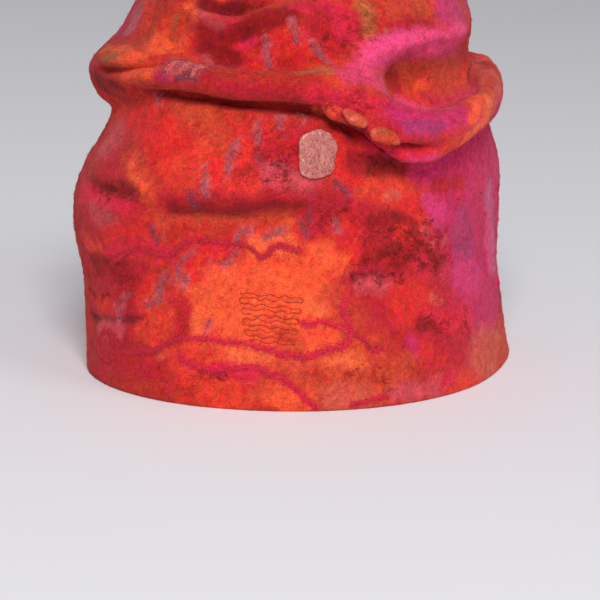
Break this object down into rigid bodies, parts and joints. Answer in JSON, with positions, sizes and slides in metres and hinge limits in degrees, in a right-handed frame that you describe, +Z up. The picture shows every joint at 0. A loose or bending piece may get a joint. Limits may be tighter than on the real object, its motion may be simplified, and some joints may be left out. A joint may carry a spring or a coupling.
{
  "type": "felt hat",
  "caption": "Tall wet-felted wool hat with a soft creased side wall, a rolled cowl fold and a crumpled crown, hollow and open at the rim.",
  "frame": {"origin": "middle of the hat's plan, in the plane of the rim's lower edge", "axes": "+Z up through the crown, -Y the way the wearer faces, +X the wearer's left"},
  "size_m": [0.1812, 0.2202, 0.205],
  "materials": {
    "wool_felt": "matt hand-felted wool in mottled scarlet, orange and magenta",
    "pale_wool": "matt pale pink wool and silk fibre",
    "orange_wool": "matt orange felted wool"
  },
  "bodies": {
    "root": {"felt_body": "wool_felt", "pale_patch": "pale_wool", "nub_upper": "orange_wool", "nub_lower": "orange_wool"}
  },
  "joints": []
}
